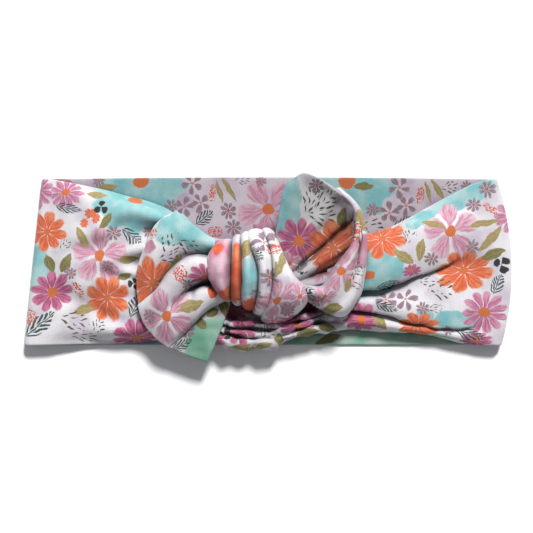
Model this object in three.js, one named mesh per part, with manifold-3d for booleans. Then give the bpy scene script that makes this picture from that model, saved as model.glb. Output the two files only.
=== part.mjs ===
// Knotted headband: a soft floral jersey band, lying flat and closed on a table.
//
// The band is a long fabric tube, so every stretch of it has two plies and one long seam. Two folds,
// one at each end, turn the back of the loop over to its front. At the front the two ends of the band
// cross, are tied a second time over the crossing, and stand out as two wide tails.
//
// The model is cut where the loop bends, so that it can open: three back panels, two front panels,
// the knot, and the two tails. Units are millimetres, +Z is up, +Y is the band's upper edge as worn,
// and the origin is on the table under the middle of the object.

import * as THREE from "three";
import { mergeVertices } from "three/addons/utils/BufferGeometryUtils.js";
import Module from "manifold-3d";

const wasm = await Module();
wasm.setup();

// ---------------------------------------------------------------------------------------------
// Driving dimensions
// ---------------------------------------------------------------------------------------------

const FOLD_X = 118; // the bends at the two folds
const BEND_X = 34; // the bends beside the middle, at the back and at the front
const HALF_DEPTH = 46.75; // from the middle to the tips of the tails
const UPPER_EDGE = 45; // where the back's upper edge lies
const LOWER_EDGE = -38; // where the lower edges lie
const PLY = 0.7; // one layer of brushed jersey
const PLY_GAP = 0.3; // air between neighbouring layers
const BEND_GAP = 1; // clearance from a back panel's end to the bend line beside it
const FOLD_Z = 4; // height of a fold's middle, and half the height of the closed loop
const SEAM = 1.1; // width of the sewn ridge along the lower edge
const KNOT_TOP = 32;

const BAND = 2 * PLY + PLY_GAP; // thickness of the flattened tube
const FRONT_TOP = 2 * FOLD_Z; // top of the front panels at the folds
const FRONT_RISE = 3.2; // how far a front panel climbs from its fold to the knot
const FRONT_END = BEND_X + 2 * BEND_GAP;

const PRINT = { color: 0xe9dfea, roughness: 0.85, metalness: 0 };
const PRINT_INSIDE = { color: 0xd9cfdd, roughness: 0.88, metalness: 0 };
const PRINT_TIE = { color: 0xe3b9c4, roughness: 0.85, metalness: 0 };
const SEAM_CLOTH = { color: 0xcfe6e0, roughness: 0.8, metalness: 0 };

// ---------------------------------------------------------------------------------------------
// Helpers
// ---------------------------------------------------------------------------------------------

const headband = new THREE.Group();

const mix = (a, b, t) => a + (b - a) * t;
const clamp01 = (t) => Math.min(1, Math.max(0, t));
const smooth = (t) => clamp01(t) ** 2 * (3 - 2 * clamp01(t));
const hump = (t, middle, width) => Math.exp(-(((t - middle) / width) ** 2));
const arch = (t) => Math.sin(Math.PI * clamp01(t));
const point = (x, y, z) => new THREE.Vector3(x, y, z);

// Six times the volume inside a closed geometry. It is negative when the faces point inwards.
function signedVolume(geometry) {
  const corners = geometry.attributes.position;
  const [a, b, c] = [point(), point(), point()];
  let sum = 0;
  for (let i = 0; i < geometry.index.count; i += 3) {
    a.fromBufferAttribute(corners, geometry.index.getX(i));
    b.fromBufferAttribute(corners, geometry.index.getX(i + 1));
    c.fromBufferAttribute(corners, geometry.index.getX(i + 2));
    sum += a.dot(b.cross(c));
  }
  return sum;
}

// A closed geometry with each of its points moved by place(x, y, z), and its faces pointing out.
function reshape(source, place) {
  source.deleteAttribute("normal");
  source.deleteAttribute("uv");
  const geometry = mergeVertices(source, 1e-5);
  const corners = geometry.attributes.position;
  for (let i = 0; i < corners.count; i++) {
    corners.setXYZ(i, ...place(corners.getX(i), corners.getY(i), corners.getZ(i)).toArray());
  }
  if (signedVolume(geometry) < 0) {
    geometry.setIndex([...geometry.index.array].reverse());
  }
  return geometry;
}

// A layer of cloth of one thickness. Its upper face is surface(u, v), with u and v from 0 to 1.
function layer(surface, thickness, stepsU, stepsV) {
  return reshape(new THREE.BoxGeometry(1, 1, 1, stepsU, stepsV, 1), (x, y, z) => {
    const place = surface(x + 0.5, y + 0.5);
    place.z -= (0.5 - z) * thickness;
    return place;
  });
}

// A roll of cloth along a line. size(t) is half its width and half its height at each place.
function roll(line, size, across, steps, sides) {
  return reshape(new THREE.CylinderGeometry(1, 1, 1, sides, steps), (x, y, z) => {
    const [halfWidth, halfHeight] = size(y + 0.5);
    const place = line(y + 0.5).addScaledVector(across, halfWidth * x);
    place.z += halfHeight * z;
    return place;
  });
}

function solid(geometry) {
  const vertProperties = new Float32Array(geometry.attributes.position.array);
  const triVerts = new Uint32Array(geometry.index.array);
  return new wasm.Manifold(new wasm.Mesh({ numProp: 3, vertProperties, triVerts }));
}

// The first closed geometry with the second one cut out of it.
function cut(body, tool) {
  const rest = solid(body).subtract(solid(tool)).getMesh();
  const geometry = new THREE.BufferGeometry();
  geometry.setAttribute("position", new THREE.BufferAttribute(rest.vertProperties, 3));
  geometry.setIndex(new THREE.BufferAttribute(rest.triVerts, 1));
  return geometry;
}

function add(name, geometry, look) {
  geometry.computeVertexNormals();
  const mesh = new THREE.Mesh(geometry, new THREE.MeshStandardMaterial(look));
  mesh.name = name;
  headband.add(mesh);
}

// ---------------------------------------------------------------------------------------------
// The back of the loop: three flat panels of two plies, with the long seam at their lower edge
// ---------------------------------------------------------------------------------------------

// The upper edge bows down a little towards the folds.
const upperEdge = (x) => UPPER_EDGE - 1.2 * (x / FOLD_X) ** 2;

// The left fold leans outwards towards the lower edge, and the right fold bellies out.
const leftFold = (v) => mix(-FOLD_X, -110.5, v);
const rightFold = (v) => FOLD_X - 5 * (2 * v - 0.8) ** 2;

function backPanel(name, fromX, toX) {
  const ply = (top) => (u, v) => {
    const x = mix(fromX(v), toX(v), u);
    return point(x, mix(LOWER_EDGE + SEAM + PLY_GAP, upperEdge(x), v), top);
  };
  const ridge = (u, v) => point(mix(fromX(0), toX(0), u), LOWER_EDGE + SEAM * v, BAND);
  add(`${name}_outer_ply`, layer(ply(PLY), PLY, 5, 5), PRINT);
  add(`${name}_inner_ply`, layer(ply(BAND), PLY, 5, 5), PRINT_INSIDE);
  add(`${name}_long_seam`, layer(ridge, BAND, 1, 1), SEAM_CLOTH);
}

function backPanels() {
  const inner = BEND_X - BEND_GAP;
  const outer = BEND_X + BEND_GAP;
  backPanel("back_middle", () => -inner, () => inner);
  backPanel("back_left", leftFold, () => -outer);
  backPanel("back_right", () => outer, rightFold);
}

// ---------------------------------------------------------------------------------------------
// The folds: each ply turns through half a circle from the back of the loop to its front
// ---------------------------------------------------------------------------------------------

function foldPly(name, edge, side, radius, look) {
  const bent = reshape(new THREE.BoxGeometry(1, 1, 1, 10, 8, 1), (x, y, z) => {
    const along = x + 0.5;
    const angle = Math.PI * y;
    const reach = radius - PLY * (0.5 - z);
    return point(
      edge(along) + side * (PLY_GAP + reach * Math.cos(angle)),
      mix(LOWER_EDGE, upperEdge(edge(along)), along),
      FOLD_Z + reach * Math.sin(angle),
    );
  });
  add(name, bent, look);
}

function folds() {
  const sides = [["left_fold", leftFold, -1], ["right_fold", rightFold, 1]];
  for (const [name, edge, side] of sides) {
    foldPly(`${name}_outer_ply`, edge, side, FOLD_Z, PRINT);
    foldPly(`${name}_inner_ply`, edge, side, FOLD_Z - PLY - PLY_GAP, PRINT_INSIDE);
  }
}

// ---------------------------------------------------------------------------------------------
// The front panels: they narrow and rise from a fold to the knot, in soft pleats
// ---------------------------------------------------------------------------------------------

function frontPanel(name, edge, end, upper, lower, pleats) {
  const height = (u, v) => {
    const raised = pleats.reduce((sum, pleat) => sum + pleat.high * hump(v, pleat.at, pleat.width), 0);
    return FRONT_TOP + FRONT_RISE * smooth(u) + u * raised;
  };
  const ply = (drop) => (u, v) => {
    const y = mix(lower(u) + SEAM + PLY_GAP, upper(u), v);
    return point(mix(edge(v), end, u), y, height(u, v) - drop);
  };
  const ridge = (u, v) => point(mix(edge(0), end, u), lower(u) + SEAM * v, height(u, 0));
  add(`${name}_outer_ply`, layer(ply(0), PLY, 8, 14), PRINT);
  add(`${name}_inner_ply`, layer(ply(PLY + PLY_GAP), PLY, 8, 14), PRINT_INSIDE);
  add(`${name}_long_seam`, layer(ridge, BAND, 8, 1), SEAM_CLOTH);
}

function frontPanels() {
  const leftUpper = (u) => UPPER_EDGE - 1.2 - 25 * u ** 1.9;
  const leftLower = (u) => LOWER_EDGE + 8 * u ** 3;
  const leftPleats = [
    { at: 0.68, width: 0.1, high: 1 },
    { at: 0.35, width: 0.1, high: 0.8 },
  ];
  frontPanel("front_left", leftFold, -FRONT_END, leftUpper, leftLower, leftPleats);

  const rightUpper = (u) => UPPER_EDGE - 1.2 - 32 * Math.sin((Math.PI * u) / 2) ** 1.35;
  const rightLower = (u) => LOWER_EDGE + 11 * smooth(u);
  const rightPleats = [
    { at: 0.76, width: 0.15, high: 4 },
    { at: 0.42, width: 0.1, high: 3 },
    { at: 0.12, width: 0.08, high: 1.8 },
  ];
  frontPanel("front_right", rightFold, FRONT_END, rightUpper, rightLower, rightPleats);
}

// ---------------------------------------------------------------------------------------------
// The knot: two strands cross under it, one strand runs through it, and one wraps over it
// ---------------------------------------------------------------------------------------------

const CROSSING_BOTTOM = 6.6;
const CROSSING_TOP = 12.2;
const WRAP_BOTTOM = 12.6;
const CORE_Z = 21;
const Y_AXIS = point(0, 1, 0);

// A strand of the first crossing, from the left front panel to the right one.
function crossingStrand(name, startY, endY, halfWidth) {
  const reach = BEND_X - BEND_GAP;
  const halfHeight = (CROSSING_TOP - CROSSING_BOTTOM) / 2;
  const line = (t) => point(mix(-reach, reach, t), mix(startY, endY, t), CROSSING_BOTTOM + halfHeight);
  const size = (t) => [halfWidth * (1 - 0.18 * arch(t)), halfHeight * (0.8 + 0.2 * arch(t))];
  add(name, roll(line, size, Y_AXIS, 8, 14), PRINT);
}

// The strand that runs level through the wrap, from one tail to the other.
function knotCore() {
  const line = (t) => point(mix(-27, 4.6, t), mix(-1, 1, t), CORE_Z);
  const size = (t) => [11 - 2 * arch(t), 4.6 - 0.6 * arch(t)];
  add("knot_core", roll(line, size, Y_AXIS, 6, 14), PRINT_TIE);
}

// The wrap's right edge slants, so the wrap widens towards the lower right.
const wrapRightEdge = (y) => 8.5 - 0.5 * y;

function knotWrap() {
  const pleats = 5;
  const leftEdge = (y) => -28.5 + 0.012 * (y - 3) ** 2;
  const skin = reshape(new THREE.CylinderGeometry(1, 1, 1, 28, 20), (x, y, z) => {
    const t = y + 0.5;
    const pleat = 1 - 0.06 * (1 - Math.abs(Math.sin(Math.PI * pleats * t)) ** 0.6) * clamp01(z);
    const upper = mix(14, 18.5, smooth(2 * t));
    const lower = mix(-14, -28.5, smooth(1.1 * t));
    const side = mix((upper + lower) / 2, x > 0 ? upper : lower, Math.abs(x) * pleat);
    const crown = z > 0 ? arch(mix(0.14, 0.86, t)) ** 0.5 * pleat : 1;
    const middle = (KNOT_TOP + WRAP_BOTTOM) / 2;
    const height = middle + (KNOT_TOP - middle) * z * crown;
    return point(mix(leftEdge(side), wrapRightEdge(side), t), side, height);
  });
  const size = () => [12.2, 5.8];
  const tunnelLine = (t) => point(mix(-45, 40, t), 0, CORE_Z);
  add("knot_wrap", cut(skin, roll(tunnelLine, size, Y_AXIS, 1, 16)), PRINT_TIE);
}

// ---------------------------------------------------------------------------------------------
// The tails: wide ends of the band, each a blade with one edge rolled over
// ---------------------------------------------------------------------------------------------

const ROOT_GAP = 2.6; // from the wrap to the root of the right tail
const TAIL = 2; // two plies, with the air that the tail's own pleats hold between them

// A blade from a straight root to a round end. Both edges are functions of v, from 0 to 1.
function tailBlade(name, root, end, crown) {
  const surface = (u, v) => {
    const place = root(v).lerp(end(v), u);
    place.z += crown * arch(v) * arch(u);
    return place;
  };
  add(name, layer(surface, TAIL, 8, 11), PRINT_TIE);
}

function rolledEdge(name, line, halfWidth, halfHeight, across) {
  const size = (t) => [halfWidth * (0.5 + 0.5 * arch(t)), halfHeight * (0.6 + 0.4 * arch(t))];
  add(name, roll(line, size, across, 8, 12), PRINT_TIE);
}

function leftTail() {
  const root = (v) => point(-33, mix(-14, 9, v), 14.8);
  const end = (v) => {
    const y = mix(-HALF_DEPTH, 28, smooth(v));
    const bulge = Math.max(0, 1 - ((y + 12) / 42) ** 2) ** 0.7;
    return point(-38 - 27 * bulge, y, 14.4);
  };
  tailBlade("left_tail_blade", root, end, 2);
  const line = (t) => point(mix(-38, -56, t), mix(2, -20, t), 19.5);
  rolledEdge("left_tail_rolled_edge", line, 6.4, 2.4, point(0.77, -0.63, 0));
}

function rightTail() {
  const root = (v) => {
    const y = mix(-11, 18, v);
    return point(wrapRightEdge(y) + ROOT_GAP, y, 18);
  };
  const end = (v) => {
    const angle = mix(-0.4, 0.7, v) * Math.PI;
    return point(24 + 24.5 * Math.cos(angle), 11 + (HALF_DEPTH - 11) * Math.sin(angle), 19);
  };
  tailBlade("right_tail_blade", root, end, 2.5);
  const line = (t) => point(mix(42, 31, t) + 2 * arch(t), mix(27, -12, t), 24.1);
  rolledEdge("right_tail_rolled_edge", line, 5.8, 2.4, point(0.96, -0.28, 0));
}

backPanels();
folds();
frontPanels();
crossingStrand("crossing_upper_strand", -3, 1, 11.4);
crossingStrand("crossing_lower_strand", -27, -24.4, 11.8);
knotCore();
knotWrap();
leftTail();
rightTail();

export default headband;
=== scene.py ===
# Looks of the knotted headband: printed brushed jersey, lying flat on a pale table.
#
# Each stretch of cloth is a lofted mid surface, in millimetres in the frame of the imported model,
# thickened to the two plies of the tube. The print is painted by shader nodes on the cloth's own
# coordinates, in millimetres, so it bends and moves with the cloth.

import math

import bpy
import numpy as np
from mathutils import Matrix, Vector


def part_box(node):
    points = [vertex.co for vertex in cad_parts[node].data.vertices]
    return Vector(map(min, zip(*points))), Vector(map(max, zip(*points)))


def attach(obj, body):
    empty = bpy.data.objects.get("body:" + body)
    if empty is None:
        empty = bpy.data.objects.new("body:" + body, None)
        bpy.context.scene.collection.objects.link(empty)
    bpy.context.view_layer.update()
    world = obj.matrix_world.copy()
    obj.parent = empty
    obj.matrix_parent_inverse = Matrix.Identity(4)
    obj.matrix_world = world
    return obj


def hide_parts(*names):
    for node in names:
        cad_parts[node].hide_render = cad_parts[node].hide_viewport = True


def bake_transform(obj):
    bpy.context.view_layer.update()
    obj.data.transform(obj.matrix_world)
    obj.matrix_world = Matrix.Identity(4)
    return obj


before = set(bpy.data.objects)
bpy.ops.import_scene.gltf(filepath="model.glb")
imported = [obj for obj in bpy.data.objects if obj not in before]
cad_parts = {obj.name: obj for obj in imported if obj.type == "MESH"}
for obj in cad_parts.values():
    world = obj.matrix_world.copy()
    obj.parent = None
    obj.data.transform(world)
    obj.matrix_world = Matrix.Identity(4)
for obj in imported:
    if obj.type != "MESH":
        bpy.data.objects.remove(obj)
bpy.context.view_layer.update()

MM = 0.001

# ---- Driving dimensions, in millimetres, from the frame ----


def box_mm(node):
    low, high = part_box(node)
    return np.array(low) / MM, np.array(high) / MM


FOLD_HIGH = box_mm("left_fold_outer_ply")[1][2]  # thickness of the closed loop at its folds
PLY = box_mm("back_middle_outer_ply")[1][2]
BAND = box_mm("back_middle_inner_ply")[1][2]  # thickness of the flattened tube
LEFT_END = box_mm("left_fold_outer_ply")[0][0]
RIGHT_END = box_mm("right_fold_outer_ply")[1][0]
LOWER_EDGE, UPPER_EDGE = box_mm("back_middle_long_seam")[0][1], box_mm("back_middle_inner_ply")[1][1]
BEND = (box_mm("back_middle_outer_ply")[1][0] + box_mm("back_right_outer_ply")[0][0]) / 2

GRAIN = 1.15  # distance between mesh points
CLOTH = 2 * PLY  # the tube's two plies, pressed together
BACK_Z = BAND / 2
FRONT_Z = FOLD_HIGH - BAND / 2
FOLD_RADIUS = (FRONT_Z - BACK_Z) / 2

# ---- Surfaces ----


def steps(length):
    return max(4, int(round(length / GRAIN)) + 1)


def mix(a, b, t):
    return a + (b - a) * t


def smooth(t):
    t = np.clip(t, 0, 1)
    return t * t * (3 - 2 * t)


def through(points, count):
    """count samples of a smooth curve through points. The points may be whole rows of points."""
    p = np.asarray(points, float)
    p = np.concatenate([[2 * p[0] - p[1]], p, [2 * p[-1] - p[-2]]])
    at = np.linspace(0, len(p) - 3, count)
    i = np.minimum(at.astype(int), len(p) - 4)
    t = (at - i).reshape((-1,) + (1,) * (p.ndim - 1))
    a, b, c, d = p[i], p[i + 1], p[i + 2], p[i + 3]
    return 0.5 * (
        2 * b + (c - a) * t + (2 * a - 5 * b + 4 * c - d) * t**2 + (3 * b - a - 3 * c + d) * t**3
    )


def evenly(points, count):
    """count samples of the smooth curve through points, at even steps of its length."""
    fine = through(points, 20 * len(points))
    run = np.concatenate([[0], np.cumsum(np.linalg.norm(np.diff(fine, axis=0), axis=1))])
    at = np.linspace(0, run[-1], count)
    return np.stack([np.interp(at, run, fine[:, k]) for k in range(fine.shape[1])], 1)


def height_at(x, knots):
    """A smooth function of x through knots, a list of (x, value)."""
    curve = through(knots, 40 * len(knots))
    return np.interp(x, curve[:, 0], curve[:, 1])


def loft(rows, along, across):
    """A grid of points through a net of rows. Each row is sampled evenly, then the rows are joined."""
    even = np.array([evenly(row, across) for row in rows])
    return through(even, along)


WAVES = 9  # how many plain waves make up an irregular ripple


def ripple(grid, size, high, seed):
    """Soft irregular waves over a grid, of about that size and height."""
    draw = np.random.default_rng(seed)
    total = np.zeros(grid.shape[:2])
    for _ in range(WAVES):
        way = draw.normal(size=3)
        way /= np.linalg.norm(way)
        length = size * draw.uniform(0.7, 1.6)
        total += np.sin(2 * math.pi * (grid @ way) / length + draw.uniform(0, 7))
    return high * total / 3


def normals(grid):
    du, dv = np.gradient(grid, axis=0), np.gradient(grid, axis=1)
    n = np.cross(du, dv)
    return n / np.maximum(np.linalg.norm(n, axis=2, keepdims=True), 1e-9)


def raised(grid, high):
    """The grid, moved along its own normals."""
    return grid + normals(grid) * high[:, :, None]


def along_line(grid, start, end, high, wide):
    """Height to add along a crest from start to end, in plan. It fades in from its start."""
    a, b = np.array(start, float), np.array(end, float)
    run = np.linalg.norm(b - a)
    way = (b - a) / run
    rel = grid[:, :, :2] - a
    t = rel @ way / run
    off = rel @ np.array([-way[1], way[0]])
    return high * smooth(t) * np.exp(-((off / wide) ** 2))


EASE_ROUNDS, EASE = 160, 0.22  # rounds of easing, and the share of each error taken out in one


def cloth_coordinates(grid):
    """Flat coordinates of the cloth, in millimetres: the plan, eased until lengths are nearly true."""
    flat = grid[:, :, :2].copy()
    rows, columns = flat.shape[:2]
    links = []
    for di, dj in ((0, 1), (1, 0), (1, 1), (1, -1)):
        i0, i1 = 0, rows - di
        j0, j1 = max(0, -dj), columns - max(0, dj)
        a = (slice(i0, i1), slice(j0, j1))
        b = (slice(i0 + di, i1 + di), slice(j0 + dj, j1 + dj))
        links.append((a, b, np.linalg.norm(grid[b] - grid[a], axis=2)))
    for _ in range(EASE_ROUNDS):
        move = np.zeros_like(flat)
        for a, b, length in links:
            gap = flat[b] - flat[a]
            now = np.maximum(np.linalg.norm(gap, axis=2), 1e-6)
            push = (0.5 * (1 - length / now))[:, :, None] * gap
            move[a] += push
            move[b] -= push
        flat += EASE * move
    return flat + (grid[:, :, :2] - flat).mean(axis=(0, 1))


# ---- From a mid surface to a closed piece of cloth ----


ROUND = [math.radians(a) for a in (30, 60, 90)]  # the steps round an edge


def round_edge(state, side):
    """Adds the rows that round one edge of the sheet: its middle runs on while it thins to nothing."""
    middle, normal, half, flat = state
    turned = side[0] == "v"
    if turned:
        middle, normal, half, flat = (a.swapaxes(0, 1) for a in (middle, normal, half, flat))
    if side[1] == "0":
        middle, normal, half, flat = (a[::-1] for a in (middle, normal, half, flat))
    out = middle[-1] - middle[-2]
    out /= np.maximum(np.linalg.norm(out, axis=1, keepdims=True), 1e-9)
    shift = flat[-1] - flat[-2]
    shift /= np.maximum(np.linalg.norm(shift, axis=1, keepdims=True), 1e-9)
    extra = [[], [], [], []]
    for angle in ROUND:
        extra[0].append(middle[-1] + out * CLOTH / 2 * math.sin(angle))
        extra[1].append(normal[-1])
        extra[2].append(half[-1] * math.cos(angle))
        extra[3].append(flat[-1] + shift * CLOTH * angle / 2)
    state = [np.concatenate([a, np.array(e)]) for a, e in zip((middle, normal, half, flat), extra)]
    if side[1] == "0":
        state = [a[::-1] for a in state]
    if turned:
        state = [a.swapaxes(0, 1) for a in state]
    return state


def cloth_piece(name, middle, material, cut=(), flat=None):
    """A closed mesh of cloth on a mid surface. Its edges are round, but for the cut ones."""
    if flat is None:
        flat = cloth_coordinates(middle)
    lengths = (
        np.linalg.norm(np.diff(middle, axis=0), axis=2).sum(0).mean(),
        np.linalg.norm(np.diff(middle, axis=1), axis=2).sum(1).mean(),
    )
    cells = np.cross(np.diff(middle, axis=0)[:, :-1], np.diff(middle, axis=1)[:-1])
    half = np.full(middle.shape[:2], CLOTH / 2)
    state = [middle, normals(middle), half, flat]
    for side in ("u0", "u1", "v0", "v1"):
        if side not in cut:
            state = round_edge(state, side)
    middle, normal, half, flat = state
    rows, columns = half.shape
    top = middle + normal * half[:, :, None]
    under = middle - normal * half[:, :, None]
    number = np.arange(rows * columns).reshape(rows, columns)
    closed = half < 1e-6
    below = np.where(closed, number, number + rows * columns)
    quads = []
    for index, flip in ((number, False), (below, True)):
        q = np.stack([index[:-1, :-1], index[1:, :-1], index[1:, 1:], index[:-1, 1:]], -1)
        quads.append(q.reshape(-1, 4)[:, ::-1] if flip else q.reshape(-1, 4))
    walls = {
        "u0": (number[0], below[0], 1),
        "u1": (number[-1], below[-1], -1),
        "v0": (number[:, 0], below[:, 0], -1),
        "v1": (number[:, -1], below[:, -1], 1),
    }
    caps = []
    for side in cut:
        upper, lower, way = walls[side]
        w = np.stack([upper[:-1], upper[1:], lower[1:], lower[:-1]], -1)
        caps.append(w if way > 0 else w[:, ::-1])
    faces = np.concatenate(quads + caps)
    points = np.concatenate([top.reshape(-1, 3), under.reshape(-1, 3)])
    uv = np.concatenate([flat.reshape(-1, 2)] * 2)

    used, faces = np.unique(faces, return_inverse=True)
    faces = faces.reshape(-1, 4)
    points, uv = points[used], uv[used]
    polygons = []
    for face in faces.tolist():
        corners = [c for k, c in enumerate(face) if c != face[k - 1]]
        if len(set(corners)) >= 3:
            polygons.append(corners)
    mesh = bpy.data.meshes.new(name)
    mesh.from_pydata((points * MM).tolist(), [], polygons)
    layer = mesh.uv_layers.new(name="Cloth")
    loops = np.empty(len(mesh.loops), np.int32)
    mesh.loops.foreach_get("vertex_index", loops)
    layer.data.foreach_set("uv", uv[loops].astype(np.float32).ravel())
    mesh.materials.append(material)
    mesh.shade_smooth()
    if cut:
        sharpen(mesh, len(polygons) - sum(len(c) for c in caps))
    piece = bpy.data.objects.new(name, mesh)
    bpy.context.scene.collection.objects.link(piece)
    piece["flat_mm"] = [float(x) for x in lengths]
    piece["area_mm2"] = float(np.linalg.norm(cells, axis=2).sum())
    return piece


def sharpen(mesh, first_wall):
    """The flush faces at a cut stay flat, so that two pieces meet there without a groove."""
    mesh.update()
    edges = set()
    for polygon in mesh.polygons[first_wall:]:
        edges.update(polygon.edge_keys)
    for edge in mesh.edges:
        edge.use_edge_sharp = edge.key in edges
    mesh.update()


# ---- The shader's node graph, written as expressions ----


class Graph:
    """Makes shader nodes. Each call returns an output socket, and takes sockets or numbers."""

    def __init__(self, material):
        self.tree = material.node_tree

    def put(self, kind, inputs=(), output=0, **settings):
        node = self.tree.nodes.new(kind)
        for key, value in settings.items():
            setattr(node, key, value)
        for slot, value in (inputs.items() if isinstance(inputs, dict) else enumerate(inputs)):
            if value is None:
                continue
            if isinstance(value, bpy.types.NodeSocket):
                self.tree.links.new(value, node.inputs[slot])
            else:
                node.inputs[slot].default_value = value
        return node.outputs[output]

    def math(self, operation, *values):
        return self.put("ShaderNodeMath", values, operation=operation)

    def plus(self, a, b):
        return self.math("ADD", a, b)

    def minus(self, a, b):
        return self.math("SUBTRACT", a, b)

    def times(self, a, b):
        return self.math("MULTIPLY", a, b)

    def size(self, a):
        return self.math("ABSOLUTE", a)

    def vector(self, operation, *values):
        output = 1 if operation in ("LENGTH", "DOT_PRODUCT", "DISTANCE") else 0
        return self.put("ShaderNodeVectorMath", values, output, operation=operation)

    def parts(self, vector):
        node = self.tree.nodes.new("ShaderNodeSeparateXYZ")
        self.tree.links.new(vector, node.inputs[0])
        return node.outputs[0], node.outputs[1]

    def combine(self, x, y, z=0.0):
        return self.put("ShaderNodeCombineXYZ", (x, y, z))

    def ramp(self, value, low, high, a=0.0, b=1.0):
        return self.put(
            "ShaderNodeMapRange", (value, low, high, a, b), interpolation_type="SMOOTHSTEP"
        )

    def noise(self, vector, scale, detail=2.0, output=0):
        return self.put(
            "ShaderNodeTexNoise", {"Vector": vector, "Scale": scale, "Detail": detail}, output
        )

    def colour(self, factor, a, b):
        inputs = {0: factor, 6: a, 7: b}
        return self.put("ShaderNodeMix", inputs, 2, data_type="RGBA")

    def choose(self, factor, a, b):
        return self.put("ShaderNodeMix", {0: factor, 4: a, 5: b}, 1, data_type="VECTOR")


INK = 0.65  # the cloth sends back less light than the paper colours it is matched to


def srgb(text):
    """The cloth's linear RGBA colour, from a paper colour in six hex digits."""
    values = [int(text[i : i + 2], 16) / 255 for i in (0, 2, 4)]
    linear = [v / 12.92 if v <= 0.04045 else ((v + 0.055) / 1.055) ** 2.4 for v in values]
    return tuple(INK * v for v in linear) + (1.0,)


def mapping(g, place, x, y, length, width=None, turn=0):
    """Local coordinates of one spot, which reach 1 at its edge. It is round if no width is given."""
    inputs = (place, (x, y, 0), (0, 0, math.radians(turn)), (length, width or length, 1))
    return g.put("ShaderNodeMapping", inputs, vector_type="TEXTURE")


def nearest(g, place, spots):
    """Local coordinates of the nearest of the spots."""
    best = None
    for spot in spots:
        local = mapping(g, place, *spot)
        if best is None:
            best = local
            continue
        closer = g.math("LESS_THAN", g.vector("LENGTH", local), g.vector("LENGTH", best))
        best = g.choose(closer, best, local)
    return best


# ---- The motifs of the print. Each one paints itself over a colour, at its spots ----

CORAL, CORAL_LIGHT, CORAL_HEART = srgb("E4551E"), srgb("F68C58"), srgb("E27434")
PINK, PINK_LIGHT = srgb("D488A6"), srgb("EFC6D4")
ROSE, ROSE_LIGHT = srgb("C66590"), srgb("E3A0BC")
MAGENTA, MAGENTA_LIGHT = srgb("B44076"), srgb("DC7EA6")
AQUA, AQUA_LIGHT = srgb("86CCD0"), srgb("BCE2E2")
MINT, MINT_LIGHT = srgb("7FC7A6"), srgb("AEDFC8")
# Paler mints, as painted light on the back's lower strip, which lies in the shadow of the front's lower
# pleat.
MINT_PAINTED_LIGHT, MINT_PAINTED_LIGHTER = srgb("9EE6C6"), srgb("DDF6E6")
MAUVE, MAUVE_LIGHT = srgb("8C6E7B"), srgb("B398A5")
TAN, TAN_DARK = srgb("C2AE72"), srgb("978650")
OLIVE, OLIVE_DARK = srgb("9C9052"), srgb("6F6A35")
TEAL, GREEN, NIGHT = srgb("1F4A46"), srgb("4A5422"), srgb("060C06")
GROUND, GROUND_SHADE = srgb("F9F6F8"), srgb("DCD1DE")


PETAL_POWER = 2.1  # 2 makes a petal oval, and more makes its ends blunt


def petals(g, local, count, middle, reach, wide):
    """(mask, distance from the heart, streaks) of a flower of that many oval petals."""
    x, y = g.parts(local)
    far = g.vector("LENGTH", local)
    angle = g.math("ARCTAN2", y, x)
    turn = g.times(angle, count / (2 * math.pi))
    phase = g.minus(g.math("FRACT", turn), 0.5)
    radial = g.math("DIVIDE", g.minus(far, middle), reach)
    sideways = g.math("DIVIDE", phase, wide)
    inside = g.plus(g.math("POWER", g.size(radial), PETAL_POWER), g.times(sideways, sideways))
    mask = g.ramp(inside, 1.24, 0.76)
    streaks = g.noise(g.combine(g.times(angle, 5.0), far), 1.8, 1.0)
    return mask, far, streaks


def flower(g, place, colour, spots, paint, heart, size, count, *shape):
    """A flower. shape is its petals' middle, their reach either way, and their half width."""
    local = nearest(g, place, spots)
    mask, far, streaks = petals(g, local, count, *shape)
    dark, light = paint
    tone = g.plus(g.ramp(streaks, 0.35, 0.65), g.ramp(far, 0.5, 1.0, -0.2, 0.35))
    colour = g.colour(mask, colour, g.colour(tone, dark, light))
    if heart is None:
        return colour
    return g.colour(g.ramp(far, size * 1.12, size * 0.9), colour, heart)


def bloom(g, place, colour, spots, paint, heart):
    """A large pale flower whose petals run into one another, or without a heart, a plain wash."""
    local = nearest(g, place, spots)
    far = g.vector("LENGTH", local)
    wash = g.noise(place, 0.1, 2.0)
    edge = g.plus(far, g.times(wash, 0.5))
    if heart is not None:
        x, y = g.parts(local)
        turn = g.times(g.math("ARCTAN2", y, x), 11.0)
        edge = g.plus(edge, g.times(g.math("COSINE", turn), 0.07))
    mask = g.ramp(edge, 1.24, 1.08)
    dark, light = paint
    colour = g.colour(mask, colour, g.colour(g.ramp(wash, 0.35, 0.68), dark, light))
    if heart is None:
        return colour
    return g.colour(g.ramp(far, 0.18, 0.15), colour, heart)


def leaf(g, place, colour, spots, paint):
    """A pointed leaf along x, with a pale rib."""
    local = nearest(g, place, spots)
    x, y = g.parts(local)
    side = g.size(y)
    outline = g.minus(1.0, g.math("POWER", g.size(x), 2.0))
    mask = g.ramp(g.minus(outline, side), -0.08, 0.1)
    rib = g.times(g.ramp(side, 0.16, 0.02), 0.45)
    streaks = g.noise(g.combine(g.times(x, 1.5), g.times(y, 5.0)), 1.6, 1.0)
    dark, light = paint
    tone = g.plus(g.ramp(streaks, 0.3, 0.7), rib)
    return g.colour(mask, colour, g.colour(tone, dark, light))


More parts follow.
